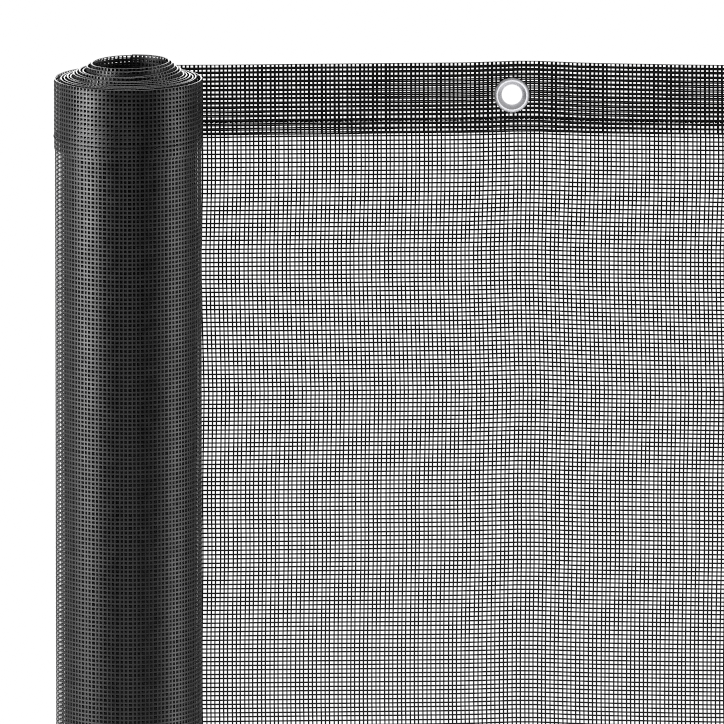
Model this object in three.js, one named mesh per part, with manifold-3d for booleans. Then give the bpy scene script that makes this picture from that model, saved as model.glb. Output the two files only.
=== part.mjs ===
// Privacy screen netting, a standing roll with its loose end drawn off the back.
// Millimetres, +Z up. The roll's axis is vertical and the loose end runs towards +X.
import * as THREE from "three";
import { mergeVertices } from "three/addons/utils/BufferGeometryUtils.js";
import Module from "manifold-3d";

const wasm = await Module();
wasm.setup();

// The cloth
const NET_HEIGHT = 900;
const HEM_DEPTH = 44;
const CLOTH_THICKNESS = 1.2;
const HEM_THICKNESS = 2.0;
const FOLD_DROP = 0.7;
const SEAT_GAP = 0.3;

// The roll, counted in turns inwards from where the loose end leaves it, at its back
const TURN_COUNT = 10;
const STEPS_PER_TURN = 36;
const LEAVING_ANGLE = Math.PI / 2;
const HEM_PROUD = 0.6;
const SETTLED_LIFT = 1.0;

// radius: middle of the cloth; drift: the turn's centre, off to the right of the axis;
// lift: how far the turn stands up out of the roll; tilt: more of that on its right side
const TURNS = [
  { turn: 0, radius: 44.1, drift: 0.0, lift: 0.0, tilt: 0.0 },
  { turn: 0.25, radius: 44.5, drift: 0.45, lift: 0.1, tilt: 0.25 },
  { turn: 0.5, radius: 44.7, drift: 0.45, lift: 0.1, tilt: 0.25 },
  { turn: 0.75, radius: 44.6, drift: 0.45, lift: 0.2, tilt: 0.25 },
  { turn: 1, radius: 41.5, drift: 0.4, lift: 0.3, tilt: 0.2 },
  { turn: 2, radius: 39.1, drift: 0.6, lift: 0.7, tilt: 0.2 },
  { turn: 3, radius: 37.0, drift: 0.8, lift: 1.2, tilt: 0.3 },
  { turn: 4, radius: 34.9, drift: 1.3, lift: 2.0, tilt: 0.4 },
  { turn: 5, radius: 32.8, drift: 1.6, lift: 2.9, tilt: 0.6 },
  { turn: 6, radius: 30.8, drift: 1.8, lift: 4.8, tilt: 0.9 },
  { turn: 7, radius: 28.8, drift: 2.0, lift: 5.8, tilt: 1.2 },
  { turn: 8, radius: 26.9, drift: 2.1, lift: 8.2, tilt: 1.5 },
  { turn: 9, radius: 25.1, drift: 2.2, lift: 9.5, tilt: 1.8 },
  { turn: 10, radius: 23.4, drift: 2.2, lift: 10.0, tilt: 1.9 },
  { turn: 11, radius: 21.9, drift: 2.2, lift: 10.4, tilt: 1.9 },
];

// The loose end, from the roll's axis to its free edge
// rise: how far the threads stand above their level; sway: how far the cloth stands back
const LOOSE_LENGTH = 398;
const PANEL_STEP = 10;
const RIPPLES = [
  { x: 0, rise: 0.0, sway: 0.0 },
  { x: 60, rise: 0.3, sway: 0.1 },
  { x: 110, rise: 0.9, sway: -0.4 },
  { x: 170, rise: 1.5, sway: -0.6 },
  { x: 212, rise: 1.7, sway: 0.0 },
  { x: 247, rise: 2.9, sway: 0.5 },
  { x: 285, rise: 1.4, sway: 0.2 },
  { x: 345, rise: 0.5, sway: -0.8 },
  { x: 398, rise: 0.0, sway: -1.6 },
];

// The eyelet
const EYELET_X = 237;
const EYELET_BELOW_EDGE = 21.3;
const BORE_RADIUS = 6;
const BARREL_RADIUS = 7;
const FLANGE_RADIUS = 11;
const FLANGE_RISE = 1.5;
const FLANGE_LIP = 0.5;
const WASHER_THICKNESS = 1.0;
const EYELET_SEGMENTS = 32;
const DOME_STEPS = 5;

const netBlack = new THREE.MeshStandardMaterial({ color: 0x1b1b1c, roughness: 0.55, metalness: 0 });
const hemBlack = new THREE.MeshStandardMaterial({ color: 0x161617, roughness: 0.55, metalness: 0 });
const satinMetal = new THREE.MeshStandardMaterial({ color: 0xc9cbcd, roughness: 0.32, metalness: 1 });

// A closed skin of triangles whose corners are shared
class Skin {
  constructor() {
    this.positions = [];
    this.faces = [];
    this.known = new Map();
  }

  corner(point) {
    const key = point.toArray().map((value) => value.toFixed(4)).join(" ");
    if (!this.known.has(key)) {
      this.known.set(key, this.positions.length / 3);
      this.positions.push(...point.toArray());
    }
    return this.known.get(key);
  }

  triangle(a, b, c) {
    const corners = [this.corner(a), this.corner(b), this.corner(c)];
    if (new Set(corners).size === 3) {
      this.faces.push(...corners);
    }
  }

  // Corners run anticlockwise, seen from outside
  quad(a, b, c, d) {
    this.triangle(a, b, c);
    this.triangle(a, c, d);
  }

  // A wall between two upright edges, listed upwards; left and right are seen from outside
  wall(left, right) {
    let i = 0;
    let k = 0;
    while (i < left.length - 1 || k < right.length - 1) {
      const leftNext = i < left.length - 1 ? left[i + 1].z : Infinity;
      const rightNext = k < right.length - 1 ? right[k + 1].z : Infinity;
      if (leftNext <= rightNext) {
        this.triangle(left[i], right[k], left[i + 1]);
        i += 1;
      } else {
        this.triangle(left[i], right[k], right[k + 1]);
        k += 1;
      }
    }
  }

  geometry() {
    const geometry = new THREE.BufferGeometry();
    geometry.setAttribute("position", new THREE.Float32BufferAttribute(this.positions, 3));
    geometry.setIndex(this.faces);
    geometry.computeVertexNormals();
    return geometry;
  }
}

// A column of a table, read between its rows
function between(table, key, column, at) {
  const next = table.findIndex((row) => row[key] >= at);
  if (next <= 0) {
    return table[next === 0 ? 0 : table.length - 1][column];
  }
  const [low, high] = [table[next - 1], table[next]];
  const share = (at - low[key]) / (high[key] - low[key]);
  return low[column] + share * (high[column] - low[column]);
}

// The wound roll: one spiral staircase of turns round an open core
function rollGeometry() {
  const skin = new Skin();
  const lastStep = TURN_COUNT * STEPS_PER_TURN;
  const angleAt = (step) => LEAVING_ANGLE + (2 * Math.PI * step) / STEPS_PER_TURN;
  const column = (name, step) => between(TURNS, "turn", name, step / STEPS_PER_TURN);
  const liftAt = (step) => column("lift", step) + column("tilt", step) * Math.cos(angleAt(step));
  const top = (step) => NET_HEIGHT + liftAt(step);
  const bottom = (step) => Math.max(0, liftAt(step) - SETTLED_LIFT);
  const isOuter = (step) => step > 0 && step < STEPS_PER_TURN;

  const place = (step, z, proud) => {
    const radius = column("radius", step) + CLOTH_THICKNESS / 2 + proud;
    const angle = angleAt(step);
    return new THREE.Vector3(radius * Math.cos(angle) + column("drift", step), radius * Math.sin(angle), z);
  };
  const rim = (step, z) => place(step, z, isOuter(step) ? HEM_PROUD : 0);

  // Every height at which the upright edge at a step has a corner
  const levels = (step, low, high) => {
    const heights = [];
    if (step <= lastStep) {
      heights.push(bottom(step), top(step));
    }
    if (step >= STEPS_PER_TURN) {
      heights.push(bottom(step - STEPS_PER_TURN), top(step - STEPS_PER_TURN));
    }
    if (step <= STEPS_PER_TURN) {
      heights.push(HEM_DEPTH, NET_HEIGHT - HEM_DEPTH);
    }
    const inside = heights.filter((z) => z > low && z < high);
    return [low, ...[...new Set(inside)].sort((a, b) => a - b), high];
  };
  const edge = (step, low, high) => levels(step, low, high).map((z) => place(step, z, 0));

  // The outermost edge stands proud where the folded hems are
  const outerEdge = (step) => {
    if (!isOuter(step)) {
      return edge(step, bottom(step), top(step));
    }
    const hemTop = NET_HEIGHT - HEM_DEPTH;
    return [
      place(step, bottom(step), HEM_PROUD),
      place(step, HEM_DEPTH, HEM_PROUD),
      place(step, HEM_DEPTH, 0),
      place(step, hemTop, 0),
      place(step, hemTop, HEM_PROUD),
      place(step, top(step), HEM_PROUD),
    ];
  };

  for (let step = 0; step < lastStep; step += 1) {
    const inner = step + STEPS_PER_TURN;
    skin.quad(
      rim(step, top(step)),
      rim(step + 1, top(step + 1)),
      place(inner + 1, top(step + 1), 0),
      place(inner, top(step), 0),
    );
    skin.quad(
      place(inner, bottom(step), 0),
      place(inner + 1, bottom(step + 1), 0),
      rim(step + 1, bottom(step + 1)),
      rim(step, bottom(step)),
    );
    if (step < STEPS_PER_TURN) {
      skin.wall(outerEdge(step), outerEdge(step + 1));
    }
    if (inner < lastStep) {
      skin.wall(edge(inner, top(step), top(inner)), edge(inner + 1, top(step + 1), top(inner + 1)));
      skin.wall(
        edge(inner + 1, bottom(step + 1), bottom(inner + 1)),
        edge(inner, bottom(step), bottom(inner)),
      );
    } else {
      skin.wall(
        edge(inner + 1, bottom(step + 1), top(step + 1)),
        edge(inner, bottom(step), top(step)),
      );
    }
  }
  skin.wall(edge(STEPS_PER_TURN, bottom(0), top(0)), edge(0, bottom(0), top(0)));
  const coreStep = lastStep + STEPS_PER_TURN;
  skin.wall(
    edge(lastStep, bottom(lastStep), top(lastStep)),
    edge(coreStep, bottom(lastStep), top(lastStep)),
  );
  return skin.geometry();
}

// Cloth that runs along the loose end, from a section that is worked out for each station
// A section lists corners as back, the depth behind the cloth's front face, and z
function looseCloth(sectionAt) {
  const skin = new Skin();
  const count = Math.round((LOOSE_LENGTH - SEAT_GAP) / PANEL_STEP);
  const stations = Array.from({ length: count + 1 }, (unused, index) => {
    const x = SEAT_GAP + ((LOOSE_LENGTH - SEAT_GAP) * index) / count;
    const front = TURNS[0].radius - CLOTH_THICKNESS / 2 + between(RIPPLES, "x", "sway", x);
    return sectionAt(x).map((corner) => new THREE.Vector3(x, front + corner.back, corner.z));
  });
  for (let index = 0; index < count; index += 1) {
    const [near, far] = [stations[index], stations[index + 1]];
    near.forEach((corner, k) => {
      const next = (k + 1) % near.length;
      skin.quad(corner, near[next], far[next], far[k]);
    });
  }
  const outline = sectionAt(SEAT_GAP).map((corner) => new THREE.Vector2(corner.back, corner.z));
  for (const [a, b, c] of THREE.ShapeUtils.triangulateShape(outline, [])) {
    const [start, end] = [stations[0], stations[count]];
    skin.triangle(start[a], start[c], start[b]);
    skin.triangle(end[a], end[b], end[c]);
  }
  return skin.geometry();
}

// The single cloth, thicker at its lower hem
function panelSection(x) {
  const top = NET_HEIGHT - HEM_DEPTH - SEAT_GAP + between(RIPPLES, "x", "rise", x);
  return [
    { back: 0, z: 0 },
    { back: HEM_THICKNESS, z: 0 },
    { back: HEM_THICKNESS, z: HEM_DEPTH },
    { back: CLOTH_THICKNESS, z: HEM_DEPTH },
    { back: CLOTH_THICKNESS, z: top },
    { back: 0, z: top },
  ];
}

// The heading hem, two layers with a rounded fold at the top
function hemSection(x) {
  const rise = between(RIPPLES, "x", "rise", x);
  const top = NET_HEIGHT + rise;
  const shoulder = HEM_THICKNESS / 4;
  return [
    { back: 0, z: top - HEM_DEPTH },
    { back: HEM_THICKNESS, z: top - HEM_DEPTH },
    { back: HEM_THICKNESS, z: top - FOLD_DROP },
    { back: HEM_THICKNESS - shoulder, z: top },
    { back: shoulder, z: top },
    { back: 0, z: top - FOLD_DROP },
  ];
}

function toSolid(geometry) {
  const bare = geometry.clone();
  bare.deleteAttribute("normal");
  bare.deleteAttribute("uv");
  const merged = mergeVertices(bare);
  return new wasm.Manifold(
    new wasm.Mesh({
      numProp: 3,
      vertProperties: new Float32Array(merged.attributes.position.array),
      triVerts: new Uint32Array(merged.index.array),
    }),
  );
}

function toGeometry(solid) {
  const mesh = solid.getMesh();
  const geometry = new THREE.BufferGeometry();
  geometry.setAttribute("position", new THREE.Float32BufferAttribute(mesh.vertProperties, 3));
  geometry.setIndex(new THREE.Uint32BufferAttribute(mesh.triVerts, 1));
  geometry.computeVertexNormals();
  return geometry;
}

const eyeletZ = NET_HEIGHT + between(RIPPLES, "x", "rise", EYELET_X) - EYELET_BELOW_EDGE;
const clothMiddle = TURNS[0].radius + between(RIPPLES, "x", "sway", EYELET_X);
const hemFront = clothMiddle - CLOTH_THICKNESS / 2;

function hemGeometry() {
  const punch = new THREE.CylinderGeometry(
    BARREL_RADIUS + SEAT_GAP,
    BARREL_RADIUS + SEAT_GAP,
    FLANGE_RADIUS,
    EYELET_SEGMENTS,
  );
  punch.translate(EYELET_X, clothMiddle, eyeletZ);
  const strip = toSolid(looseCloth(hemSection));
  return toGeometry(strip.subtract(toSolid(punch)));
}

// The ring's section, round the barrel: a domed front flange, the barrel and the flat washer
function eyeletGeometry() {
  const frontSeat = -SEAT_GAP;
  const backSeat = HEM_THICKNESS + SEAT_GAP;
  const backFace = backSeat + WASHER_THICKNESS;
  const domeCentre = (BORE_RADIUS + FLANGE_RADIUS) / 2;
  const domeReach = (FLANGE_RADIUS - BORE_RADIUS) / 2;
  const dome = Array.from({ length: DOME_STEPS + 1 }, (unused, index) => {
    const angle = (Math.PI * index) / DOME_STEPS;
    const rise = FLANGE_LIP + (FLANGE_RISE - FLANGE_LIP) * Math.sin(angle);
    return new THREE.Vector2(domeCentre - domeReach * Math.cos(angle), frontSeat - rise);
  });
  const section = [
    ...dome,
    new THREE.Vector2(FLANGE_RADIUS, frontSeat),
    new THREE.Vector2(BARREL_RADIUS, frontSeat),
    new THREE.Vector2(BARREL_RADIUS, backSeat),
    new THREE.Vector2(FLANGE_RADIUS, backSeat),
    new THREE.Vector2(FLANGE_RADIUS, backFace),
    new THREE.Vector2(BORE_RADIUS, backFace),
  ];
  section.push(section[0].clone());
  return new THREE.LatheGeometry(section, EYELET_SEGMENTS);
}

function piece(name, geometry, material) {
  const mesh = new THREE.Mesh(geometry, material);
  mesh.name = name;
  return mesh;
}

const netting = new THREE.Group();
netting.add(piece("net_roll", rollGeometry(), netBlack));
netting.add(piece("net_panel", looseCloth(panelSection), netBlack));
netting.add(piece("hem_strip", hemGeometry(), hemBlack));

const eyelet = piece("eyelet", eyeletGeometry(), satinMetal);
eyelet.position.set(EYELET_X, hemFront, eyeletZ);
netting.add(eyelet);

// The origin lies on the floor, below the middle of the whole
const extent = new THREE.Box3().setFromObject(netting);
const middle = extent.getCenter(new THREE.Vector3());
netting.position.set(-middle.x, -middle.y, -extent.min.z);

const part = new THREE.Group();
part.add(netting);

export default part;
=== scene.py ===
"""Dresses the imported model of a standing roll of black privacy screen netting.

The cloth is an open square mesh of coated yarn. Each yarn is modelled as a strand of its own,
laid along one path that runs from the free edge of the loose end to the heart of the roll.
Sizes are in millimetres until a strand is placed, and in metres in the row frame after that.
"""

import logging
import math
from dataclasses import dataclass, field
from enum import Enum
from typing import Sequence

import bpy
import numpy as np
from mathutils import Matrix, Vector


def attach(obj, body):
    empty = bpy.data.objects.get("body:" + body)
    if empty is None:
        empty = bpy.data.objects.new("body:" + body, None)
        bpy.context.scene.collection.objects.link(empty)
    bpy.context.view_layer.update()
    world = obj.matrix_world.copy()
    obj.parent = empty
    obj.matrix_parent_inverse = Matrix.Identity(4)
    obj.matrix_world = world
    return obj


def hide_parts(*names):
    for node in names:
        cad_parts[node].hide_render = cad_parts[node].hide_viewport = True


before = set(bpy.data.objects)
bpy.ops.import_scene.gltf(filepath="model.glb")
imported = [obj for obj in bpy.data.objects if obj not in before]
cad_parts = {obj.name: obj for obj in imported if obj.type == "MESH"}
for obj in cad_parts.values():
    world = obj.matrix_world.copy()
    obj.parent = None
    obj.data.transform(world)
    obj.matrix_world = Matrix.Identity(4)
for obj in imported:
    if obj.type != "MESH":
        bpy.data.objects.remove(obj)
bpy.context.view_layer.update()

MM = 0.001
BODY = "root"

log = logging.getLogger("netting")


class Slot(Enum):
    """The record's material slots."""

    NETTING = "netting"
    HEM = "hem"
    EYELET = "eyelet_metal"


@dataclass(frozen=True)
class Cloth:
    """Sizes of the netting itself, in millimetres."""

    height: float = 900.0
    hem_depth: float = 44.0
    column_pitch: float = 2.637
    row_pitch: float = 2.713
    first_row: float = 2.2
    column_width: float = 0.86
    row_width: float = 0.90
    column_thickness: float = 0.14
    row_thickness: float = 0.22
    weft_proud: float = 0.06
    layer_gap: float = 0.5
    back_shift: float = 0.94
    back_slip: float = 0.30
    rolled_shift: float = 0.35
    rolled_slip: float = 0.06
    fold_width: float = 0.80
    fold_thickness: float = 0.52
    loose_length: float = 398.0
    seam_drop: float = 36.4


@dataclass(frozen=True)
class Turn:
    """One row of the roll's table: a place on the spiral, in turns inwards from where it leaves.

    A turn starts at the back of the roll and goes round by the left. The radius and the drift to
    the right are those at the place itself. The lifts are the top's at the turn's back, left,
    front and right; a row between whole turns has none, and the last row only the back's.
    """

    turn: float
    radius: float
    drift: float
    lifts: tuple[float, ...]


TURNS = (
    Turn(0, 44.1, 0.0, (0.0, 0.0, 0.0, 0.0)),
    Turn(0.25, 45.2, -0.2, ()),
    Turn(0.75, 45.0, -0.1, ()),
    Turn(1, 42.4, 0.4, (0.3, 0.0, 0.3, 1.2)),
    Turn(2, 40.4, 0.5, (0.8, 0.2, 0.9, 0.8)),
    Turn(3, 38.5, 0.6, (1.0, 1.2, 1.2, 1.9)),
    Turn(4, 36.6, 0.6, (1.6, 1.0, 2.3, 2.0)),
    Turn(5, 34.7, 0.5, (2.4, 3.4, 3.2, 2.6)),
    Turn(6, 32.9, 0.5, (3.4, 4.1, 3.1, 5.6)),
    Turn(7, 31.0, 0.5, (5.2, 4.8, 5.2, 6.3)),
    Turn(8, 29.1, 0.7, (5.6, 4.6, 5.2, 8.5)),
    Turn(9, 27.1, 1.0, (8.2, 7.4, 8.3, 9.9)),
    Turn(10, 24.8, 1.5, (9.9, 8.9, 9.9, 11.0)),
    Turn(11, 22.3, 2.0, (10.6,)),
)
TURN_COUNT = TURNS[-1].turn
ROLL_AXIS = (-176.375, -0.6286)
SETTLED_LIFT = 1.0

# The loose end: x from the roll's axis, how far the threads rise there and how far back it stands
RIPPLES = (
    (0, 0.0, 0.0),
    (60, 0.3, 0.1),
    (110, 0.9, -0.4),
    (170, 1.5, -0.6),
    (212, 1.7, 0.3),
    (217, 1.9, 0.38),
    (247, 2.9, 0.38),
    (257, 2.5, 0.38),
    (285, 1.4, 0.2),
    (345, 0.5, -0.8),
    (398, 0.0, -1.6),
)

# The reed draws the columns through in threes, so each three stands a little closer together
REED = (0.195, -0.05, -0.145)

# How far the upright threads of the loose end stand to the right, by their depth under its top
WANDER = (
    (0, -0.7),
    (72, -0.4),
    (95, -1.1),
    (125, -1.9),
    (162, -0.9),
    (207, 0.4),
    (230, 0.0),
    (270, -0.75),
    (305, -0.45),
    (342, -1.05),
    (370, -1.35),
    (410, -1.35),
    (470, -0.2),
    (560, -1.1),
    (680, 0.3),
    (800, -0.8),
    (900, -0.5),
)


class SmoothTable:
    """A table of numbers, read between its rows with its corners rounded off."""

    def __init__(self, keys: Sequence[float], values: Sequence[float], reach: float) -> None:
        """Reads the table once, finely.

        Args:
            keys: The rows' places, rising.
            values: The rows' values.
            reach: How far a corner is rounded off to each side.
        """
        self.at = np.arange(keys[0], keys[-1] + 1.0)
        plain = np.interp(self.at, keys, values)
        half = int(reach)
        window = np.hanning(2 * half + 3)[1:-1]
        padded = np.pad(plain, half, mode="reflect", reflect_type="odd")
        self.value = np.convolve(padded, window / window.sum(), mode="valid")

    def read(self, where: np.ndarray) -> np.ndarray:
        """Returns the value at each place."""
        return np.interp(where, self.at, self.value)


class ClothPath:
    """Where any point of the cloth lies: first the loose end, then the turns of the roll."""

    STEPS = 720

    # In millimetres: the loose end is straight this near the roll and wanders fully this much
    # further on, and its ripples fade out over this height above the floor
    HELD, EASING, SETTLING = 8, 40, 60

    # How far the corners of the tables are rounded off, the lifts' in degrees
    RIPPLE_REACH, LIFT_REACH, WANDER_REACH = 12, 40, 10

    def __init__(self, cloth: Cloth) -> None:
        """Measures the spiral, so that lengths along the cloth are true.

        Args:
            cloth: The sizes of the netting.
        """
        self.cloth = cloth
        self.keys = [row.turn for row in TURNS]
        self.turns = np.linspace(0, self.keys[-1], int(self.keys[-1]) * self.STEPS + 1)
        x, y = self._spiral(self.turns, 0.0)
        steps = np.hypot(np.diff(x), np.diff(y))
        self.lengths = np.concatenate([[0.0], np.cumsum(steps)])
        places = [row[0] for row in RIPPLES]
        self.rise = SmoothTable(places, [row[1] for row in RIPPLES], self.RIPPLE_REACH)
        self.sway = SmoothTable(places, [row[2] for row in RIPPLES], self.RIPPLE_REACH)
        lifts = [lift for row in TURNS for lift in row.lifts]
        self.lift = SmoothTable(np.arange(len(lifts)) * 90, lifts, self.LIFT_REACH)
        depths, wander = zip(*WANDER)
        self.wander = SmoothTable(depths, wander, self.WANDER_REACH)

    def _column(self, name: str, turns: np.ndarray) -> np.ndarray:
        """Returns one column of the roll's table at each turn."""
        return np.interp(turns, self.keys, [getattr(row, name) for row in TURNS])

    def _spiral(self, turns: np.ndarray, off: np.ndarray | float) -> tuple[np.ndarray, np.ndarray]:
        """Places points of the roll in plan.

        Args:
            turns: Turns inwards from where the cloth leaves the roll.
            off: How far outside the middle of the cloth each point lies.

        Returns:
            The points' x and y, from the roll's axis.
        """
        angle = math.pi / 2 + 2 * math.pi * turns
        radius = self._column("radius", turns) + off
        return radius * np.cos(angle) + self._column("drift", turns), radius * np.sin(angle)

    def length_to(self, turn: float) -> float:
        """Returns the length of cloth from where it leaves the roll to a turn."""
        return float(np.interp(turn, self.turns, self.lengths))

    def place(self, along: np.ndarray, drop: np.ndarray, off: np.ndarray) -> np.ndarray:
        """Places points of the cloth in the row frame.

        Args:
            along: Length along the cloth into the roll; the loose end lies at negative lengths.
            drop: Depth under the cloth's top edge.
            off: How far outside the middle of the cloth, which is behind it on the loose end.

        Returns:
            The points, in metres, in an array with one more axis.
        """
        along, drop, off = np.broadcast_arrays(along, drop, off)
        height = self.cloth.height
        is_loose = along < 0
        reach = np.where(is_loose, -along, 0.0)
        hold = np.clip((reach - self.HELD) / self.EASING, 0, 1)
        loose_x = reach + self.wander.read(drop) * hold
        loose_y = TURNS[0].radius + self.sway.read(reach) + off
        settled = np.clip((height - drop) / self.SETTLING, 0, 1)
        loose_z = height - drop + self.rise.read(reach) * settled

        turns = np.interp(np.where(is_loose, 0.0, along), self.lengths, self.turns)
        roll_x, roll_y = self._spiral(turns, off)
        lift = self.lift.read(turns * 360)
        bottom = np.maximum(0.0, lift - SETTLED_LIFT)
        roll_z = bottom + (height + lift - bottom) * (1 - drop / height)

        points = np.stack(
            [
                np.where(is_loose, loose_x, roll_x) + ROLL_AXIS[0],
                np.where(is_loose, loose_y, roll_y) + ROLL_AXIS[1],
                np.where(is_loose, loose_z, roll_z),
            ],
            axis=-1,
        )
        return points * MM


class Looseness:
    """How far strands stray from even spacing: neighbours together, and each a little alone."""

    FIRST_STRAND, LAST_STRAND = -400, 1000
    FIRST_PLACE, LAST_PLACE = -600, 2600
    DRAWS = 1600

    def __init__(
        self,
        seed: int,
        shared: float,
        own: float,
        strands: int,
        run: float,
        reed: tuple[float, ...] = (0.0,),
    ) -> None:
        """Draws the strays once.

        Args:
            seed: The seed of this set of strands.
            shared: The most that neighbours stray together, in millimetres.
            own: How far a strand strays alone, in millimetres.
            strands: How many strands stray together.
            run: The length over which a stray fades into the next, in millimetres.
            reed: How the strands of each group stand off even spacing, in millimetres.
        """
        self.reed = np.array(reed)
        self.random = np.random.default_rng(seed)
        self.strands, self.run, self.shared, self.own = strands, run, shared, own
        groups = (self.LAST_STRAND - self.FIRST_STRAND) // strands + 4
        places = int((self.LAST_PLACE - self.FIRST_PLACE) / run) + 4
        self.grid = self.random.uniform(-1, 1, (groups, places))
        self.alone = self.random.normal(0, 1, self.DRAWS)
        self.phase = self.random.uniform(0, 2 * math.pi, self.DRAWS)

    def read(self, index: np.ndarray, where: np.ndarray) -> np.ndarray:
        """Returns the stray of each strand at each place.

        Args:
            index: The strands' numbers, from FIRST_STRAND on.
            where: Places along the strands, in millimetres, from FIRST_PLACE on.

        Returns:
            How far each strand stands from its even place there, in millimetres.
        """
        index, where = np.broadcast_arrays(index, where)
        group = self.reed[index.astype(int) % len(self.reed)] * (1 + 0.28 * np.sin(where / 38))
        index, where = index - self.FIRST_STRAND, (where - self.FIRST_PLACE) / self.run
        i = index / self.strands
        i0, j0 = np.floor(i).astype(int), np.floor(where).astype(int)
        u, v = i - i0, where - j0
        u, v = u * u * (3 - 2 * u), v * v * (3 - 2 * v)
        near = self.grid[i0, j0] * (1 - v) + self.grid[i0, j0 + 1] * v
        far = self.grid[i0 + 1, j0] * (1 - v) + self.grid[i0 + 1, j0 + 1] * v
        together = self.shared * (near * (1 - u) + far * u)
        number = index.astype(int)
        swing = np.sin(where * self.run / 37 + self.phase[number])
        return group + together + self.own * (0.7 * self.alone[number] + 0.5 * swing)


@dataclass
class StrandMesh:
    """Closed four-sided strands, gathered into one mesh."""

    points: list[np.ndarray] = field(default_factory=list)
    faces: list[np.ndarray] = field(default_factory=list)
    runs: list[np.ndarray] = field(default_factory=list)
    count: int = 0
    strands: int = 0

    def add(self, corners: np.ndarray) -> None:
        """Adds strands that all have the same number of stations.

        Args:
            corners: Strands by stations by the four corners of the section by xyz, in metres.
                The section runs anticlockwise, seen from the strand's far end.
        """
        strands, stations = corners.shape[:2]
        base = self.count + np.arange(strands)[:, None, None, None] * stations * 4
        station = np.arange(stations - 1)[None, :, None, None] * 4
        side = np.arange(4)[None, None, :, None]
        after = (side + 1) % 4
        quads = base + station + np.concatenate([side, after, after + 4, side + 4], axis=3)
        near = base[:, 0] + np.array([[3, 2, 1, 0]])
        far = base[:, 0] + (stations - 1) * 4 + np.array([[0, 1, 2, 3]])
        self.points.append(corners.reshape(-1, 3))
        self.faces += [quads.reshape(-1, 4), near.reshape(-1, 4), far.reshape(-1, 4)]
        self.runs += self._maps(strands, stations)
        self.count += strands * stations * 4
        self.strands += strands

    def _maps(self, strands: int, stations: int) -> list[np.ndarray]:
        """Lays each strand out on the map as one band, its four sides on top of each other.

        Args:
            strands: How many strands are added.
            stations: How many stations each has.

        Returns:
            Map places for the sides and both ends, with the band's number in place of its height.
        """
        band = (self.strands + np.arange(strands))[:, None, None, None]
        left = (np.arange(stations - 1) / (stations - 1))[None, :, None, None]
        right = left + 1 / (stations - 1)
        across = np.array([0.0, 1.0, 1.0, 0.0])
        step = np.array([0.0, 0.0, 1.0, 1.0])
        shape = (strands, stations - 1, 4, 4)
        u = np.broadcast_to(left + (right - left) * step, shape)
        v = np.broadcast_to(band + across, shape)
        sides = np.stack([u, v], axis=-1).reshape(-1, 2)
        ends = []
        for low, high in ((0.0, 0.5 / stations), (1 - 0.5 / stations, 1.0)):
            u = np.broadcast_to(np.array([low, high, high, low]), (strands, 4))
            v = (self.strands + np.arange(strands))[:, None] + np.array([0.0, 0.0, 1.0, 1.0])
            ends.append(np.stack([u, v], axis=-1).reshape(-1, 2))
        return [sides, *ends]

    def make(self, name: str, crisp: float = 40.0) -> bpy.types.Object:
        """Makes the mesh and its object, smooth along the strands and crisp at their edges.

        Args:
            name: The piece's name.
            crisp: The angle over which an edge is left crisp, in degrees.

        Returns:
            The new object.
        """
        mesh = bpy.data.meshes.new(name)
        faces = np.concatenate(self.faces)
        mesh.from_pydata(np.concatenate(self.points).tolist(), [], faces.tolist())
        places = np.concatenate(self.runs)
        places[:, 1] /= max(1, self.strands)
        layer = mesh.uv_layers.new(name="OFBake")
        layer.uv.foreach_set("vector", places.astype(np.float32).ravel())
        piece = bpy.data.objects.new(name, mesh)
        bpy.context.scene.collection.objects.link(piece)
        select_only(piece)
        bpy.ops.object.shade_smooth_by_angle(angle=math.radians(crisp))
        log.info("%s: %d strands, %d triangles", name, self.strands, 2 * len(faces))
        return piece


def select_only(piece: bpy.types.Object) -> None:
    """Makes one object the only selected one, and the active one.

    Args:
        piece: The object.
    """
    bpy.ops.object.select_all(action="DESELECT")
    piece.select_set(True)
    bpy.context.view_layer.objects.active = piece


def linear(hexadecimal: str) -> tuple[float, float, float, float]:
    """Turns an sRGB colour linear.

    Args:
        hexadecimal: The colour as #rrggbb.

    Returns:
        Its linear red, green and blue, and full alpha.
    """
    parts = [int(hexadecimal[i : i + 2], 16) / 255 for i in (1, 3, 5)]
    red, green, blue = [c / 12.92 if c <= 0.04045 else ((c + 0.055) / 1.055) ** 2.4 for c in parts]
    return red, green, blue, 1.0


def add_node(
    tree: bpy.types.NodeTree,
    kind: str,
    settings: dict[str, object] | None = None,
    inputs: dict[str | int, object] | None = None,
) -> bpy.types.Node:
    """Adds a node with its settings and what its inputs hold.

    Args:
        tree: The node tree.
        kind: The node's type.
        settings: Properties of the node.
        inputs: By input, a value, or the output socket that it is linked to.

    Returns:
        The new node.
    """
    node = tree.nodes.new(kind)
    for name, value in (settings or {}).items():
        setattr(node, name, value)
    for name, value in (inputs or {}).items():
        if isinstance(value, bpy.types.NodeSocket):
            tree.links.new(value, node.inputs[name])
        else:
            node.inputs[name].default_value = value
    return node


def new_material(name: str) -> tuple[bpy.types.Material, bpy.types.NodeTree]:
    """Makes an empty node material.

    Args:
        name: The finish's name.

    Returns:
        The material and its node tree.
    """
    material = bpy.data.materials.new(name)
    material.use_nodes = True
    material.node_tree.nodes.clear()
    return material, material.node_tree


def noise(
    tree: bpy.types.NodeTree, place: bpy.types.NodeSocket, size: float, detail: float
) -> bpy.types.NodeSocket:
    """Adds a cloudy pattern.

    Args:
        tree: The node tree.
        place: Where each point lies.
        size: The size of its clouds, in millimetres.
        detail: How much finer detail it has.

    Returns:
        How strong it is at each point.
    """
    inputs = {"Vector": place, "Scale": 1 / (size * MM), "Detail": detail}
    return add_node(tree, "ShaderNodeTexNoise", inputs=inputs).outputs["Fac"]


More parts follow.
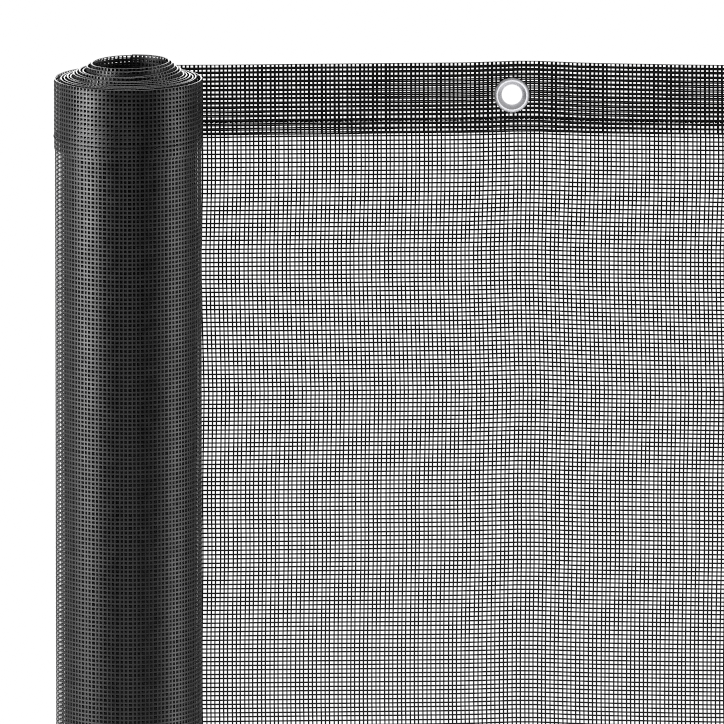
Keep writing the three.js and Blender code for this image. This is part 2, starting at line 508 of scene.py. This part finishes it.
def blend(
    tree: bpy.types.NodeTree, share: bpy.types.NodeSocket, first: object, second: object
) -> bpy.types.NodeSocket:
    """Blends two colours.

    Args:
        tree: The node tree.
        share: How much of the second there is at each point.
        first: The first colour, or the socket that it comes from.
        second: The second.

    Returns:
        The colour between them.
    """
    inputs = {0: share, 6: first, 7: second}
    return add_node(tree, "ShaderNodeMix", {"data_type": "RGBA"}, inputs).outputs[2]


@dataclass(frozen=True)
class CoatedYarn:
    """Polyester yarn in a thin black vinyl coat, as drawn through the bath and calendered.

    The eye sees near black with a soft plastic sheen, a little duller where the coat is thin.
    """

    name: str = "vinyl_coated_yarn"
    deep: str = "#060607"
    thin: str = "#0e0e0f"
    rough: float = 0.36
    dull: float = 0.48
    shine: float = 0.5
    patch: float = 9.0
    grain: float = 0.5

    def make(self) -> bpy.types.Material:
        """Makes the material, its patches and grain in real millimetres.

        Returns:
            The material.
        """
        material, tree = new_material(self.name)
        place = add_node(tree, "ShaderNodeTexCoord").outputs["Object"]
        patch = noise(tree, place, self.patch, 3.0)
        grain = noise(tree, place, self.grain, 1.0)
        colour = blend(tree, patch, linear(self.deep), linear(self.thin))
        rough = add_node(
            tree,
            "ShaderNodeMapRange",
            inputs={
                "Value": patch,
                "From Min": 0.3,
                "From Max": 0.7,
                "To Min": self.rough,
                "To Max": self.dull,
            },
        ).outputs["Result"]
        bump = add_node(
            tree,
            "ShaderNodeBump",
            inputs={"Height": grain, "Strength": 0.15, "Distance": 0.05 * MM},
        ).outputs["Normal"]
        shader = add_node(
            tree,
            "ShaderNodeBsdfPrincipled",
            inputs={
                "Base Color": colour,
                "Roughness": rough,
                "Normal": bump,
                "IOR": 1.54,
                "Specular IOR Level": self.shine,
            },
        )
        add_node(tree, "ShaderNodeOutputMaterial", inputs={"Surface": shader.outputs[0]})
        return material


@dataclass(frozen=True)
class PressedAluminium:
    """Thin aluminium sheet, pressed to shape and tumbled: pale grey with soft reflections."""

    name: str = "pressed_aluminium"
    pale: str = "#d9d9dc"
    worn: str = "#c4c4c8"
    rough: float = 0.36
    fine: float = 0.46
    patch: float = 3.0

    def make(self) -> bpy.types.Material:
        """Makes the material, with its duller patches.

        Returns:
            The material.
        """
        material, tree = new_material(self.name)
        place = add_node(tree, "ShaderNodeTexCoord").outputs["Object"]
        patch = noise(tree, place, self.patch, 4.0)
        colour = blend(tree, patch, linear(self.worn), linear(self.pale))
        rough = add_node(
            tree,
            "ShaderNodeMapRange",
            inputs={"Value": patch, "To Min": self.rough, "To Max": self.fine},
        ).outputs["Result"]
        shader = add_node(
            tree,
            "ShaderNodeBsdfPrincipled",
            inputs={"Base Color": colour, "Roughness": rough, "Metallic": 1.0},
        )
        add_node(tree, "ShaderNodeOutputMaterial", inputs={"Surface": shader.outputs[0]})
        return material


@dataclass(frozen=True)
class Hole:
    """The eyelet's hole: its middle along the cloth and under the top, and its radius."""

    along: float = -237.0
    drop: float = 21.3
    radius: float = 7.7


@dataclass(frozen=True)
class Stitch:
    """Sizes of a lock stitch, in millimetres; its depths are counted from the first layer."""

    pitch: float = 3.1
    length: float = 2.7
    width: float = 0.34
    thickness: float = 0.26
    slant: float = 0.22
    front: float = -0.30
    proud: float = 0.42
    bite: float = 0.3


def hang(piece: bpy.types.Object, material: bpy.types.Material) -> bpy.types.Object:
    """Gives a piece its finish and the body that it rides on.

    Args:
        piece: The piece.
        material: The finish.

    Returns:
        The same piece.
    """
    piece.data.materials.clear()
    piece.data.materials.append(material)
    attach(piece, BODY)
    return piece


class Weaver:
    """Lays strands on the cloth's path."""

    LOOP = np.radians([0, 45, 90, 135, 180])

    def __init__(self, cloth: Cloth, path: ClothPath) -> None:
        """Keeps the cloth and its path, and draws how its strands stray.

        Args:
            cloth: The sizes of the netting.
            path: Where the cloth lies.
        """
        self.cloth, self.path = cloth, path
        self.columns = Looseness(11, 0.16, 0.05, 5, 55, REED)
        self.rows = Looseness(12, 0.16, 0.06, 5, 70, (0.05, -0.05, 0.0))
        self.back_columns = Looseness(13, 0.16, 0.04, 14, 60)
        self.back_rows = Looseness(14, 0.42, 0.07, 5, 60, (0.05, -0.05, 0.0))

    def column_places(self, low: float, high: float) -> np.ndarray:
        """Returns the numbers of the columns between two lengths along the cloth."""
        pitch = self.cloth.column_pitch
        return np.arange(math.ceil(low / pitch - 0.5), math.ceil(high / pitch - 0.5))

    def row_drops(self) -> np.ndarray:
        """Spaces the rows evenly between the folds.

        Returns:
            The depth of every row under the top edge.
        """
        cloth = self.cloth
        count = int((cloth.height - 2 * cloth.first_row) / cloth.row_pitch) + 1
        spare = cloth.height - 2 * cloth.first_row - (count - 1) * cloth.row_pitch
        return cloth.first_row + np.arange(count) * (cloth.row_pitch + spare / (count - 1))

    def rows_between(self, low: float, high: float) -> np.ndarray:
        """Returns the numbers of the rows between two depths."""
        drops = self.row_drops()
        return np.nonzero((drops >= low) & (drops < high))[0]

    def column_ring(self) -> list[tuple[float, float]]:
        """Returns the corners of a column's section, along the cloth and outwards."""
        half, thick = self.cloth.column_width / 2, self.cloth.column_thickness / 2
        return [(-half, thick), (-half, -thick), (half, -thick), (half, thick)]

    def add_columns(
        self,
        mesh: StrandMesh,
        numbers: np.ndarray,
        drops: np.ndarray,
        off: float,
        stray: Looseness,
        shift: float = 0.0,
    ) -> None:
        """Adds plain upright strands.

        Args:
            mesh: Where they are gathered.
            numbers: The columns' numbers.
            drops: The depths of each strand's stations, strands by stations, rising.
            off: How far outside the cloth's middle they lie.
            stray: How they stray.
            shift: How far they all stand along the cloth from the first layer's columns.
        """
        along = (numbers[:, None] + 0.5) * self.cloth.column_pitch + shift
        along = along + stray.read(numbers[:, None], drops)
        ring = self.column_ring()
        mesh.add(np.stack([self.path.place(along + a, drops, off + b) for a, b in ring], axis=2))

    def add_rows(
        self,
        mesh: StrandMesh,
        numbers: np.ndarray,
        along: np.ndarray,
        off: float,
        stray: Looseness,
        shift: float = 0.0,
    ) -> None:
        """Adds plain strands that run along the cloth.

        Args:
            mesh: Where they are gathered.
            numbers: The rows' numbers.
            along: The stations of each strand, strands by stations, rising.
            off: How far outside the cloth's middle they lie.
            stray: How they stray.
            shift: How far they all lie under the first layer's rows.
        """
        cloth = self.cloth
        half, thick = cloth.row_width / 2, cloth.row_thickness / 2
        off = off + cloth.weft_proud
        drops = self.row_drops()[numbers][:, None] + shift + stray.read(numbers[:, None], along)
        ring = [(-thick, half), (-thick, -half), (thick, -half), (thick, half)]
        mesh.add(np.stack([self.path.place(along, drops + b, off + a) for a, b in ring], axis=2))

    def add_fold_rows(self, mesh: StrandMesh, along: np.ndarray, top: bool) -> None:
        """Adds the row that lies right on a hem's fold, pressed to a ridge over it.

        Args:
            mesh: Where it is gathered.
            along: Its stations, rising.
            top: True at the top edge, False at the bottom one.
        """
        cloth = self.cloth
        half, wide = cloth.fold_thickness / 2, cloth.fold_width / 2
        drop = half if top else cloth.height - half
        drops = drop + np.zeros((1, len(along)))
        middle = cloth.layer_gap / 2
        ring = [(-wide, 0.0), (0.0, -half), (wide, 0.0), (0.0, half)]
        corners = [self.path.place(along[None, :], drops + b, middle + a) for a, b in ring]
        mesh.add(np.stack(corners, axis=2))

    def add_stitches(self, mesh: StrandMesh, low: float, high: float, drop: float) -> None:
        """Sews a line of lock stitches through both layers of a hem.

        Args:
            mesh: Where they are gathered.
            low: Where the line starts along the cloth.
            high: Where it ends.
            drop: Its depth under the top edge.
        """
        stitch = Stitch()
        half, thick = stitch.width / 2, stitch.thickness / 2
        ring = [(-thick, half), (-thick, -half), (thick, -half), (thick, half)]
        starts = np.arange(low + 1.0, high - 4.0, stitch.pitch)[:, None]
        inner, outer = stitch.front, self.cloth.layer_gap + stitch.proud
        steps = np.array([[0.0, 0.45, 1.35, 2.25, stitch.length]])
        is_on_top = (steps > steps.min()) & (steps < steps.max())
        for surface, inside in ((inner, inner + stitch.bite), (outer, outer - stitch.bite)):
            off = np.where(is_on_top, surface, inside)
            slant = stitch.slant * (steps / stitch.length - 0.5) * (1 if surface < 0 else -1)
            corners = [self.path.place(starts + steps, drop + slant + b, off + a) for a, b in ring]
            mesh.add(np.stack(corners, axis=2))

    def add_folded_columns(
        self,
        mesh: StrandMesh,
        numbers: np.ndarray,
        front: np.ndarray,
        top: bool,
        back_depth: float | None = None,
    ) -> None:
        """Adds upright strands that come up the hem's back layer and go over its fold.

        Args:
            mesh: Where they are gathered.
            numbers: The columns' numbers.
            front: Depths of the stations on the first layer, beyond the fold, from the fold on.
            top: True at the top edge, False at the bottom one.
            back_depth: Where the back layer ends, if that isn't the hem's depth.
        """
        cloth = self.cloth
        gap, thick = cloth.layer_gap, cloth.column_thickness / 2
        back = np.linspace(back_depth or cloth.hem_depth, gap, 5)[:-1]
        centre = gap / 2 + thick + 0.10
        turn = np.concatenate([np.zeros(len(back)), self.LOOP, np.full(len(front), math.pi)])
        depth = np.concatenate([back, centre - gap / 2 * np.sin(self.LOOP), front])
        off = gap / 2 * (1 + np.cos(turn))
        share = np.concatenate([np.ones(len(back)), 1 - self.LOOP / math.pi, np.zeros(len(front))])
        drops = depth if top else cloth.height - depth
        drops = np.broadcast_to(drops, (len(numbers), len(turn)))
        slip = np.where(numbers < 0, cloth.back_slip, cloth.rolled_slip)[:, None]
        first = self.columns.read(numbers[:, None], drops) * (1 - share)
        second = (self.back_columns.read(numbers[:, None], drops) + slip) * share
        along = (numbers[:, None] + 0.5) * cloth.column_pitch + first + second
        inwards_off, inwards_drop = -np.cos(turn), np.sin(turn) * (1 if top else -1)
        ring = self.column_ring()
        if not top:
            ring.reverse()
        corners = [
            self.path.place(along + a, drops + b * inwards_drop, off + b * inwards_off)
            for a, b in ring
        ]
        mesh.add(np.stack(corners, axis=2))


class Winding:
    """Windings of the roll, from one turn to another."""

    STEPS = 36

    def __init__(self, weaver: Weaver, name: str, start: float, end: float) -> None:
        """Takes a stretch of the spiral.

        Args:
            weaver: What lays the strands.
            name: The piece's name.
            start: The turn where it starts, counted inwards.
            end: The turn where it ends.
        """
        self.weaver, self.name = weaver, name
        self.start, self.end = start, end
        self.low, self.high = (weaver.path.length_to(turn) for turn in (start, end))

    def stations(self, numbers: np.ndarray) -> np.ndarray:
        """Spaces stations evenly round the roll.

        Args:
            numbers: The rows' numbers.

        Returns:
            The stations along the rows, one set for each.
        """
        turns = np.linspace(self.start, self.end, round((self.end - self.start) * self.STEPS) + 1)
        along = np.interp(turns, self.weaver.path.turns, self.weaver.path.lengths)
        return np.broadcast_to(along, (len(numbers), len(along)))

    def make(self, is_full: bool) -> bpy.types.Object:
        """Weaves the stretch.

        Args:
            is_full: True for the whole height, False for the heading hem alone.

        Returns:
            The piece.
        """
        weaver, cloth, mesh = self.weaver, self.weaver.cloth, StrandMesh()
        numbers = weaver.column_places(self.low, self.high)
        hem = cloth.hem_depth
        lowest = cloth.height if is_full else hem + 3
        rows = weaver.rows_between(0, lowest)
        weaver.add_rows(mesh, rows, self.stations(rows), 0.0, weaver.rows)
        middle = cloth.height / 2
        if is_full:
            upper = np.concatenate([[1.5, 12, 30], np.linspace(hem, middle, 6)])
            lower = np.concatenate([[1.5, 20], np.linspace(hem, middle, 6)])
            weaver.add_folded_columns(mesh, numbers, upper, True)
            weaver.add_folded_columns(mesh, numbers, lower, False)
        else:
            weaver.add_folded_columns(mesh, numbers, np.array([1.5, 15, 30, lowest]), True)
        back_rows = weaver.rows_between(0, hem - 1.0)
        shift = cloth.rolled_shift
        for is_top in (True, False) if is_full else (True,):
            chosen = back_rows if is_top else len(weaver.row_drops()) - 1 - back_rows
            weaver.add_rows(
                mesh,
                chosen,
                self.stations(chosen),
                cloth.layer_gap,
                weaver.back_rows,
                shift if is_top else -shift,
            )
        return mesh.make(self.name)


class RollRims:
    """The rows that lie on the folds of the roll's hems: its rims, at the top and on the floor."""

    STEPS = 48

    def __init__(self, weaver: Weaver, turns: float) -> None:
        """Takes the roll's first turns.

        Args:
            weaver: What lays the strands.
            turns: How many turns have rims.
        """
        self.weaver, self.turns = weaver, turns

    def make(self) -> bpy.types.Object:
        """Lays both rims of every turn.

        Returns:
            The piece.
        """
        path, mesh = self.weaver.path, StrandMesh()
        turns = np.linspace(0, self.turns, round(self.turns * self.STEPS) + 1)
        along = np.interp(turns, path.turns, path.lengths)
        self.weaver.add_fold_rows(mesh, along, True)
        self.weaver.add_fold_rows(mesh, along, False)
        return mesh.make("roll_rims", 100.0)


class LooseEnd:
    """The cloth between the roll and its free edge, with its two hems and the eyelet's hole."""

    SEAM_ROW = 16
    STATIONS = 34

    def __init__(self, weaver: Weaver, hole: Hole) -> None:
        """Keeps what lays the strands and the hole that they stop at.

        Args:
            weaver: What lays the strands.
            hole: The eyelet's hole.
        """
        self.weaver, self.hole = weaver, hole
        self.start, self.end = -weaver.cloth.loose_length, -0.2
        self.numbers = weaver.column_places(self.start + 0.6, self.end)
        drops = weaver.row_drops()
        self.joint = float(drops[self.SEAM_ROW])

    def spans(
        self, near: float, far: float, offset: float, middle: float
    ) -> list[tuple[float, float]]:
        """Cuts a strand where it would cross the eyelet's hole.

        Args:
            near: Where the strand starts.
            far: Where it ends.
            offset: How far it passes from the hole's middle.
            middle: Where along the strand the hole's middle lies.

        Returns:
            The one or two stretches that are left.
        """
        reach = self.hole.radius**2 - offset**2
        if reach <= 0 or not near < middle < far:
            return [(near, far)]
        half = math.sqrt(reach)
        return [(near, middle - half), (middle + half, far)]

    def add_cut_rows(self, mesh: StrandMesh, numbers: np.ndarray, is_back: bool) -> None:
        """Adds the heading hem's rows, cut at the hole.

        Args:
            mesh: Where they are gathered.
            numbers: The rows' numbers.
            is_back: True for the hem's back layer.
        """
        weaver, cloth = self.weaver, self.weaver.cloth
        shift = cloth.back_shift if is_back else 0.0
        for number in numbers:
            offset = weaver.row_drops()[number] + shift - self.hole.drop
            for low, high in self.spans(self.start, self.end, offset, self.hole.along):
                count = max(3, round((high - low) / 12) + 1)
                weaver.add_rows(
                    mesh,
                    np.array([number]),
                    np.linspace(low, high, count)[None, :],
                    cloth.layer_gap if is_back else 0.0,
                    weaver.back_rows if is_back else weaver.rows,
                    shift,
                )

    def make_heading_hem(self) -> bpy.types.Object:
        """Weaves both layers of the heading hem, down to the row where the single cloth starts.

        Returns:
            The piece.
        """
        weaver, cloth, mesh = self.weaver, self.weaver.cloth, StrandMesh()
        pitch = cloth.column_pitch
        for is_back in (False, True):
            depth = self.joint + 0.1 if not is_back else cloth.hem_depth - 1.0
            self.add_cut_rows(mesh, weaver.rows_between(0, depth), is_back)
        offsets = (self.numbers + 0.5) * pitch - self.hole.along
        is_clear = np.abs(offsets) >= self.hole.radius + 1.0
        front = np.array([1.5, 8, 16, 24, 32, self.joint])
        weaver.add_folded_columns(mesh, self.numbers[is_clear], front, True)
        for number, offset in zip(self.numbers[~is_clear], offsets[~is_clear]):
            self.add_cut_column(mesh, number, float(offset))
        weaver.add_fold_rows(mesh, np.linspace(self.start, self.end, self.STATIONS), True)
        return mesh.make("heading_hem")

    def make_stitching(self, turn: float) -> bpy.types.Object:
        """Sews both hems, from the free edge on into the roll's outer turn.

        Args:
            turn: The turn where the sewing stops to be seen.

        Returns:
            The piece.
        """
        weaver, cloth, mesh = self.weaver, self.weaver.cloth, StrandMesh()
        for drop in (cloth.seam_drop, cloth.height - cloth.seam_drop):
            weaver.add_stitches(mesh, self.start, 0.0, drop)
            weaver.add_stitches(mesh, 0.0, weaver.path.length_to(turn), drop)
        return mesh.make("hem_stitching")

    def add_cut_column(self, mesh: StrandMesh, number: int, offset: float) -> None:
        """Adds one column of the heading hem, cut at the hole.

        Args:
            mesh: Where it is gathered.
            number: The column's number.
            offset: How far it passes from the hole's middle.
        """
        weaver, cloth = self.weaver, self.weaver.cloth
        chosen = np.array([number])
        reach = max(0.0, self.hole.radius**2 - offset**2)
        upper = self.hole.drop - math.sqrt(reach)
        weaver.add_folded_columns(mesh, chosen, np.array([1.5, 6, upper]), True, upper)
        for off, stray, low in (
            (0.0, weaver.columns, self.joint),
            (cloth.layer_gap, weaver.back_columns, cloth.hem_depth),
        ):
            shift = cloth.back_slip if off else 0.0
            drops = np.linspace(self.hole.drop + math.sqrt(reach), low, 4)[None, :]
            weaver.add_columns(mesh, chosen, drops, off, stray, shift)

    def make_single_cloth(self) -> bpy.types.Object:
        """Weaves the single cloth from the heading hem down, and the foot hem's back layer.

        Returns:
            The piece.
        """
        weaver, cloth, mesh = self.weaver, self.weaver.cloth, StrandMesh()
        rows = weaver.rows_between(self.joint + 0.1, cloth.height)
        along = np.linspace(self.start, self.end, self.STATIONS)
        weaver.add_rows(
            mesh, rows, np.broadcast_to(along, (len(rows), len(along))), 0.0, weaver.rows
        )
        lower = cloth.height - self.joint
        front = np.concatenate([[1.5, 12, 24, 36], np.linspace(48, lower, 46)])
        weaver.add_folded_columns(mesh, self.numbers, front, False)
        back = len(weaver.row_drops()) - 1 - weaver.rows_between(0, cloth.hem_depth - 1.0)
        weaver.add_rows(
            mesh,
            back,
            np.broadcast_to(along, (len(back), len(along))),
            cloth.layer_gap,
            weaver.back_rows,
            -cloth.back_shift,
        )
        weaver.add_fold_rows(mesh, along, False)
        return mesh.make("loose_end")


class RollHeart:
    """The turns inside the roll, under the heading hem, where hardly any light comes through.

    The yarns of nine turns close nearly every gap there, so the cloth is one plain dark spiral
    sheet, without its mesh.
    """

    STEPS = 36

    def __init__(self, weaver: Weaver, start: float, end: float) -> None:
        """Takes a stretch of the spiral.

        Args:
            weaver: What knows the cloth and its path.
            start: The turn where it starts, counted inwards.
            end: The turn where it ends.
        """
        self.weaver, self.start, self.end = weaver, start, end

    def make(self) -> bpy.types.Object:
        """Makes the spiral sheet, closed all round.

        Returns:
            The piece.
        """
        cloth, path = self.weaver.cloth, self.weaver.path
        turns = np.linspace(self.start, self.end, round((self.end - self.start) * self.STEPS) + 1)
        along = np.interp(turns, path.turns, path.lengths)[None, :, None]
        half = cloth.row_thickness / 2
        drops = np.array([[cloth.hem_depth + 1.0, half], [cloth.hem_depth + 1.0, -half]])
        drops = np.concatenate([drops, [[cloth.height - 1.0, -half], [cloth.height - 1.0, half]]])
        mesh = StrandMesh()
        mesh.add(path.place(along, drops[None, None, :, 0], drops[None, None, :, 1]))
        return mesh.make("roll_heart")


@dataclass(frozen=True)
class Eyelet:
    """The two-part pressed eyelet that is punched through the heading hem, in millimetres.

    Its section is listed as radius and depth behind the cloth's middle: over the front flange
    and its ridge, down the funnel and the barrel, round the curled rim at the back, over the
    washer, and back to the front under both.
    """

    centre: tuple[float, float, float] = (60.625, 43.83, 881.257)
    segments: int = 72
    section: tuple[tuple[float, float], ...] = (
        (10.85, -0.20),
        (11.00, -0.45),
        (10.94, -0.95),
        (10.72, -1.38),
        (10.36, -1.72),
        (9.94, -1.96),
        (9.50, -2.12),
        (9.05, -2.20),
        (8.75, -2.08),
        (8.30, -1.74),
        (7.70, -1.26),
        (7.15, -0.78),
        (6.70, -0.26),
        (6.44, 0.30),
        (6.36, 0.90),
        (6.36, 1.60),
        (6.50, 2.05),
        (6.85, 2.38),
        (7.35, 2.52),
        (7.90, 2.42),
        (8.20, 2.10),
        (8.25, 1.78),
        (10.60, 1.70),
        (10.95, 1.52),
        (11.00, 1.25),
        (10.90, 0.86),
        (10.60, 0.78),
        (6.95, 0.78),
        (6.95, -0.18),
        (10.85, -0.20),
    )

    def make(self) -> bpy.types.Object:
        """Draws the section out ring by ring round the eyelet's axis.

        Returns:
            The piece, named eyelet_ring.
        """
        x, y, z = (value * MM for value in self.centre)
        radius, depth = self.section[0]
        bpy.ops.object.select_all(action="DESELECT")
        bpy.ops.mesh.primitive_circle_add(
            vertices=self.segments,
            radius=radius * MM,
            fill_type="NOTHING",
            location=(x, y + depth * MM, z),
            rotation=(math.pi / 2, 0.0, 0.0),
        )
        ring = bpy.context.active_object
        ring.name = ring.data.name = "eyelet_ring"
        bpy.ops.object.mode_set(mode="EDIT")
        bpy.ops.mesh.select_all(action="SELECT")
        for wide, deep in self.section[1:]:
            bpy.ops.mesh.extrude_edges_move(
                TRANSFORM_OT_translate={"value": (0.0, (deep - depth) * MM, 0.0)}
            )
            bpy.ops.transform.resize(
                value=(wide / radius, 1.0, wide / radius), center_override=(x, y + deep * MM, z)
            )
            radius, depth = wide, deep
        bpy.ops.mesh.select_all(action="SELECT")
        bpy.ops.mesh.remove_doubles(threshold=0.01 * MM)
        bpy.ops.mesh.normals_make_consistent(inside=False)
        bpy.ops.object.mode_set(mode="OBJECT")
        bpy.ops.object.transform_apply(location=True, rotation=True, scale=True)
        bpy.ops.object.shade_smooth_by_angle(angle=math.radians(50))
        log.info("eyelet_ring: %d faces", len(ring.data.polygons))
        return ring


def gather(pieces: Sequence[bpy.types.Object], state: str) -> bpy.types.Collection:
    """Gathers what lights are kept to, or flagged off from.

    Args:
        pieces: The pieces.
        state: INCLUDE where the lights are kept to them, EXCLUDE where they are flagged off.

    Returns:
        The collection that the lights take.
    """
    lit = bpy.data.collections.new("lit_pieces")
    for number, piece in enumerate(pieces):
        lit.objects.link(piece)
        lit.collection_objects[number].light_linking.link_state = state
    return lit


@dataclass(frozen=True)
class SoftLight:
    """One soft light that faces the roll's axis: its place in metres and degrees, and its power."""

    name: str
    azimuth: float
    distance: float
    height: float
    size: tuple[float, float]
    power: float

    def build(self, pieces: bpy.types.Collection) -> None:
        """Stands the light, out of the camera's sight.

        Args:
            pieces: Pieces that it is flagged off from, or the only ones that it lights.
        """
        light = bpy.data.lights.new(self.name, "AREA")
        light.shape, light.energy = "RECTANGLE", self.power
        light.size, light.size_y = self.size
        lamp = bpy.data.objects.new(self.name, light)
        roll = Vector((ROLL_AXIS[0] * MM, ROLL_AXIS[1] * MM, self.height))
        angle = math.radians(self.azimuth)
        lamp.location = roll + self.distance * Vector((math.sin(angle), -math.cos(angle), 0.0))
        if self.distance:
            lamp.rotation_euler = (roll - lamp.location).to_track_quat("-Z", "Y").to_euler()
        lamp.visible_camera = False
        bpy.context.scene.collection.objects.link(lamp)
        lamp.light_linking.receiver_collection = pieces


class Studio:
    """Pale floor, white surround, soft lights that are each kept to some pieces, and the camera."""

    # The picture's scale at the aim and its width, and the camera's, which give the lens
    PIXELS_PER_MM, PICTURE_PIXELS, SENSOR_MM = 1.612, 724, 36

    SIDE_LIGHTS = (
        SoftLight("tall_light_left", -66, 1.35, 1.05, (0.75, 1.3), 44.0),
        SoftLight("tall_light_right", 78, 1.35, 0.85, (0.60, 1.6), 14.5),
    )
    STRIP_LIGHT = SoftLight("strip_light_front", 0, 0.55, 0.45, (0.08, 0.9), 0.58)
    RIM_LIGHTS = (
        SoftLight("overhead_light", 0, 0.0, 2.1, (0.9, 0.9), 26.0),
        SoftLight("light_behind", 180, 1.60, 1.35, (3.0, 0.7), 48.0),
    )
    METAL_LIGHT = SoftLight("sheet_light_front", 10, 2.2, 0.9, (3.4, 2.6), 50.0)

    # How bright the surround is as a light, by how far it lies to the back: the studio is dark
    # behind the camera, and its walls and backdrop are lit
    SURROUND = ((0.0, 0.02), (0.12, 0.02), (0.30, 0.50), (0.55, 0.62), (0.75, 0.80))

    def __init__(self) -> None:
        """Sets the camera's place, in metres and degrees."""
        self.aim = Vector((-0.03222, 0.04347, 0.7131))
        self.pitch = math.radians(10.6)
        self.distance = 16.0
        away = self.distance * 1000
        self.lens = self.PIXELS_PER_MM * away * self.SENSOR_MM / self.PICTURE_PIXELS

    def build(self, flagged: Sequence[bpy.types.Object], kept: dict[str, bpy.types.Object]) -> None:
        """Builds the surroundings and the camera.

        Args:
            flagged: Pieces that are flagged off from the tall lights at the roll's sides.
            kept: The outer turn, the rims and the metal, each with lights that are kept to it.
        """
        self.build_camera()
        self.build_world()
        floor = self.build_floor()
        for lights, pieces, state in (
            (self.SIDE_LIGHTS, [*flagged, floor], "EXCLUDE"),
            ((self.STRIP_LIGHT,), [kept["turn"]], "INCLUDE"),
            (self.RIM_LIGHTS, [kept["rims"]], "INCLUDE"),
            ((self.METAL_LIGHT,), [kept["metal"]], "INCLUDE"),
        ):
            lit = gather(pieces, state)
            for light in lights:
                light.build(lit)
        self.build_floor_light(floor)
        scene = bpy.context.scene
        scene.view_settings.view_transform = "Standard"
        scene.cycles.pixel_filter_type = "BOX"
        scene.cycles.use_denoising = False

    def build_camera(self) -> None:
        """Stands the camera in front of the roll, above its top edge."""
        camera = bpy.data.objects.new("camera", bpy.data.cameras.new("camera"))
        camera.data.lens = self.lens
        back = Vector((0.0, -math.cos(self.pitch), math.sin(self.pitch)))
        camera.location = self.aim + back * self.distance
        camera.rotation_euler = (math.pi / 2 - self.pitch, 0.0, 0.0)
        camera.data.clip_start, camera.data.clip_end = 0.1, 200.0
        bpy.context.scene.collection.objects.link(camera)
        bpy.context.scene.camera = camera

    def build_world(self) -> None:
        """Makes the surround white to the eye, and a light that is dim behind the camera."""
        world = bpy.data.worlds.new("surround")
        bpy.context.scene.world = world
        world.use_nodes = True
        tree = world.node_tree
        tree.nodes.clear()
        seen = add_node(tree, "ShaderNodeLightPath").outputs["Is Camera Ray"]
        way = add_node(tree, "ShaderNodeTexCoord").outputs["Generated"]
        back = add_node(tree, "ShaderNodeSeparateXYZ", inputs={0: way}).outputs["Y"]
        share = add_node(
            tree, "ShaderNodeMapRange", inputs={"Value": back, "From Min": -1.0, "From Max": 1.0}
        ).outputs["Result"]
        ramp = add_node(tree, "ShaderNodeValToRGB", inputs={"Fac": share})
        ramp.color_ramp.interpolation = "EASE"
        for index, (place, grey) in enumerate(self.SURROUND):
            if index < 2:
                stop = ramp.color_ramp.elements[index]
                stop.position = place
            else:
                stop = ramp.color_ramp.elements.new(place)
            stop.color = (grey, grey, grey, 1.0)
        colour = blend(tree, seen, ramp.outputs["Color"], (1.0, 1.0, 1.0, 1.0))
        sky = add_node(tree, "ShaderNodeBackground", inputs={"Color": colour, "Strength": 1.0})
        add_node(tree, "ShaderNodeOutputWorld", inputs={"Surface": sky.outputs[0]})

    def build_floor_light(self, floor: bpy.types.Object) -> None:
        """Hangs an even light over the floor, kept to it.

        Args:
            floor: The floor.
        """
        light = bpy.data.lights.new("floor_light", "SUN")
        light.energy, light.angle = 2.2, math.radians(70)
        lamp = bpy.data.objects.new("floor_light", light)
        lamp.location = (0.0, 0.0, 3.0)
        bpy.context.scene.collection.objects.link(lamp)
        lamp.light_linking.receiver_collection = gather([floor], "INCLUDE")

    def build_floor(self) -> bpy.types.Object:
        """Lays a round pale floor.

        Returns:
            The floor.
        """
        bpy.ops.mesh.primitive_circle_add(vertices=96, radius=1.5, fill_type="NGON")
        floor = bpy.context.active_object
        floor.name = "studio_floor"
        material, tree = new_material("pale_floor")
        inputs = {"Base Color": linear("#f2f2f2"), "Roughness": 0.7}
        shader = add_node(tree, "ShaderNodeBsdfPrincipled", inputs=inputs)
        add_node(tree, "ShaderNodeOutputMaterial", inputs={"Surface": shader.outputs[0]})
        floor.data.materials.append(material)
        return floor


def main() -> None:
    """Builds the netting, its eyelet and the studio, and reports each piece."""
    logging.basicConfig(level=logging.INFO, format="%(message)s")
    cloth = Cloth()
    path = ClothPath(cloth)
    weaver = Weaver(cloth, path)
    yarn = CoatedYarn().make()

    outer = Winding(weaver, "roll_outer_turn", 0, 1)
    outer_piece = hang(outer.make(True), yarn)
    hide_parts("net_roll")
    second = Winding(weaver, "roll_second_turn", 1, 2)
    second_piece = hang(second.make(True), yarn)
    rims = hang(RollRims(weaver, TURN_COUNT).make(), yarn)
    inner = Winding(weaver, "roll_inner_turns", 2, TURN_COUNT)
    hang(inner.make(False), yarn)
    heart = hang(RollHeart(weaver, 2, TURN_COUNT).make(), yarn)

    ring = hang(Eyelet().make(), PressedAluminium().make())
    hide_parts("eyelet")
    loose = LooseEnd(weaver, Hole())
    hem = hang(loose.make_heading_hem(), yarn)
    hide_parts("hem_strip")
    seams = hang(loose.make_stitching(1.0), yarn)
    single = hang(loose.make_single_cloth(), yarn)
    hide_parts("net_panel")

    flagged = [ring, hem, single, seams, second_piece, heart]
    Studio().build(flagged, {"turn": outer_piece, "rims": rims, "metal": ring})


if __name__ == "__main__":
    main()
